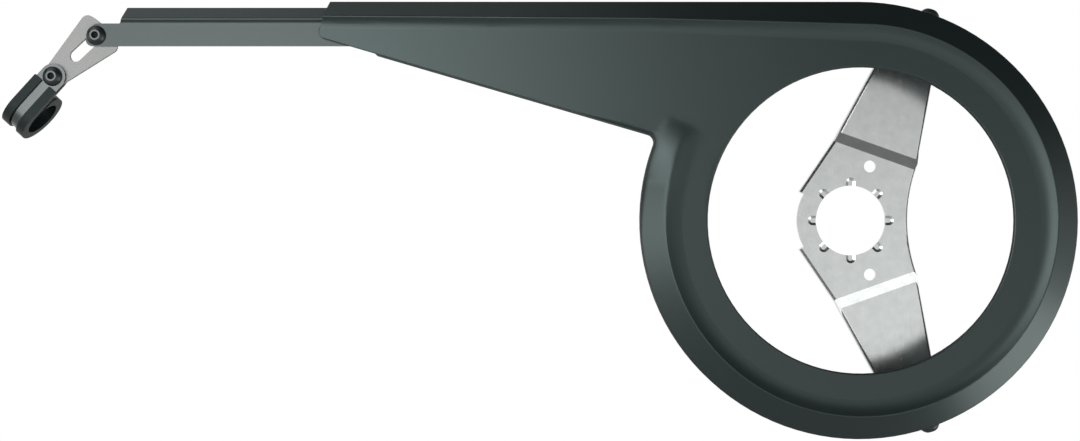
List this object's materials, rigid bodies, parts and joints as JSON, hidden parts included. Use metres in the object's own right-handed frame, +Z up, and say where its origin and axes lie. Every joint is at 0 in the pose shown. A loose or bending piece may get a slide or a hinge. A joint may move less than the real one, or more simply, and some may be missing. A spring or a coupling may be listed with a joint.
{
  "type": "bicycle chain guard",
  "caption": "Chain guard with a bevelled ring and rear arm on a folded bottom bracket plate, a sliding extension bar, a slotted link and a rubber lined clamp for the chain stay.",
  "frame": {"origin": "bottom bracket axis, in the bracket face that lies against the shell of the bicycle", "axes": "+X forwards along the bicycle, +Z up, -Y outwards along the bottom bracket axis"},
  "size_m": [0.5277, 0.0326, 0.2136],
  "materials": {
    "black_plastic": "satin moulded polypropylene with a fine grain",
    "bracket_steel": "plated sheet steel, satin",
    "link_steel": "plated sheet steel, matt",
    "bar_aluminium": "dark anodised, satin",
    "clamp_steel": "plated band steel, satin",
    "clamp_rubber": "matt black rubber",
    "screw_steel": "blackened steel, rubbed bright round the socket",
    "nut_steel": "zinc plated"
  },
  "bodies": {
    "guard": {"guard_shell": "black_plastic", "mounting_bracket": "bracket_steel", "upper_bracket_screw": "screw_steel", "upper_bracket_nut": "nut_steel", "lower_bracket_screw": "screw_steel", "lower_bracket_nut": "nut_steel"},
    "bar": {"extension_bar": "bar_aluminium"},
    "slot_fastener": {"slot_bolt": "screw_steel", "slot_washer": "nut_steel", "slot_nut": "nut_steel"},
    "link": {"link_plate": "link_steel"},
    "clamp": {"clamp_band": "clamp_steel", "clamp_rubber": "clamp_rubber", "clamp_bolt": "screw_steel", "clamp_washer": "nut_steel", "clamp_nut": "nut_steel"}
  },
  "joints": [
    {"name": "bar_slide", "type": "slide", "parent": "guard", "child": "bar", "axis": [-1, 0, 0], "range_m": [-0.04, 0.03]},
    {"name": "slot_pivot", "type": "hinge", "parent": "bar", "child": "slot_fastener", "pos_m": [-0.3718, -0.0215, 0.0901], "axis": [0, -1, 0], "range_deg": [-45, 20]},
    {"name": "slot_slide", "type": "slide", "parent": "slot_fastener", "child": "link", "axis": [0.7314, 0, 0.682], "range_m": [0, 0.006]},
    {"name": "clamp_pivot", "type": "hinge", "parent": "link", "child": "clamp", "pos_m": [-0.39316, -0.0215, 0.07019], "axis": [0, -1, 0], "range_deg": [-45, 45]}
  ]
}
